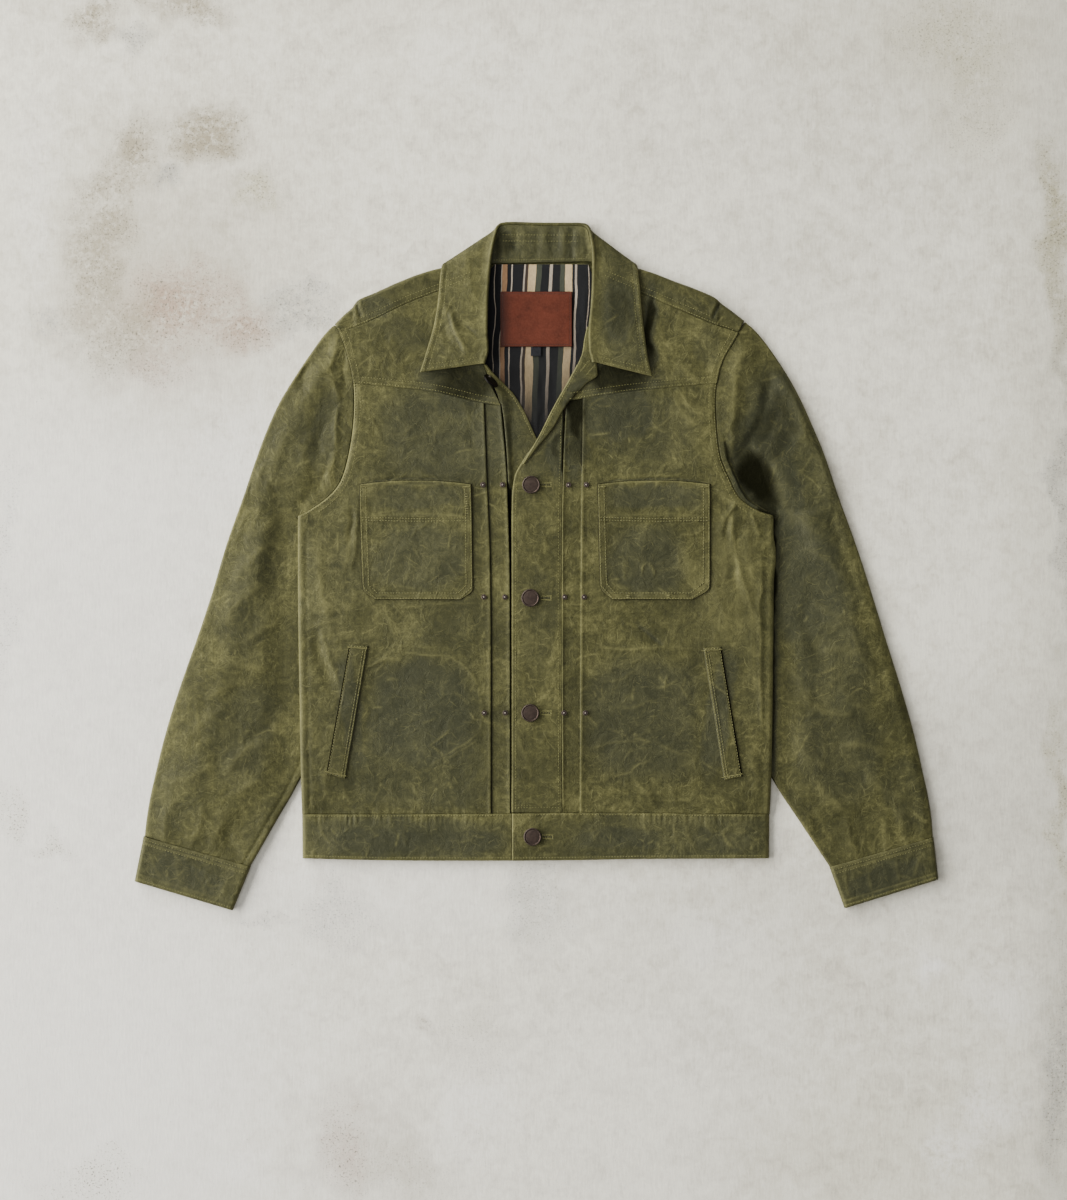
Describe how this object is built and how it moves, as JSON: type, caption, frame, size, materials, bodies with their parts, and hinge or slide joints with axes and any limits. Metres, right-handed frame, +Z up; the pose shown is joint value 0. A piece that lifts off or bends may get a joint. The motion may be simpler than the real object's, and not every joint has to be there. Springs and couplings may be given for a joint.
{
  "type": "waxed cotton jacket",
  "caption": "Short waxed cotton work jacket laid flat on its back, buttoned at the front, with a pointed collar, pleated fronts, chest patch pockets, welt pockets and banded cuffs and hem.",
  "frame": {"origin": "on the floor under the middle of the garment's overall length and width", "axes": "+X towards the wearer's left sleeve, +Y towards the collar, +Z up out of the front, away from the floor it lies on"},
  "size_m": [0.903, 0.7738, 0.0261],
  "materials": {
    "waxed_cotton": "mottled olive waxed canvas, low sheen, with pale scuffs along its creases",
    "lining_cotton": "matt woven cotton, black with cream, tan and green stripes",
    "label_leather": "smooth reddish brown leather, bare",
    "tab_cotton": "matt navy woven tape, bare",
    "antique_metal": "dull antique copper brown"
  },
  "bodies": {
    "root": {"back_panel": "waxed_cotton", "back_yoke": "waxed_cotton", "button_1": "antique_metal", "button_2": "antique_metal", "button_3": "antique_metal", "button_collar": "antique_metal", "button_waistband": "antique_metal", "chest_pocket_left": "waxed_cotton", "chest_pocket_right": "waxed_cotton", "collar_fall": "waxed_cotton", "collar_stand": "waxed_cotton", "cuff_left": "waxed_cotton", "cuff_right": "waxed_cotton", "front_band_left": "waxed_cotton", "front_band_right": "waxed_cotton", "front_facing_left": "waxed_cotton", "front_left": "waxed_cotton", "front_right": "waxed_cotton", "front_yoke_left": "waxed_cotton", "front_yoke_right": "waxed_cotton", "lining_back": "lining_cotton", "neck_label": "label_leather", "rivet_01": "antique_metal", "rivet_02": "antique_metal", "rivet_03": "antique_metal", "rivet_04": "antique_metal", "rivet_05": "antique_metal", "rivet_06": "antique_metal", "rivet_07": "antique_metal", "rivet_08": "antique_metal", "rivet_09": "antique_metal", "rivet_10": "antique_metal", "rivet_11": "antique_metal", "rivet_12": "antique_metal", "size_tab": "tab_cotton", "sleeve_left_under": "waxed_cotton", "sleeve_left_upper": "waxed_cotton", "sleeve_right_under": "waxed_cotton", "sleeve_right_upper": "waxed_cotton", "waistband_back": "waxed_cotton", "waistband_front_left": "waxed_cotton", "waistband_front_right": "waxed_cotton", "welt_pocket_left": "waxed_cotton", "welt_pocket_right": "waxed_cotton"}
  },
  "joints": []
}
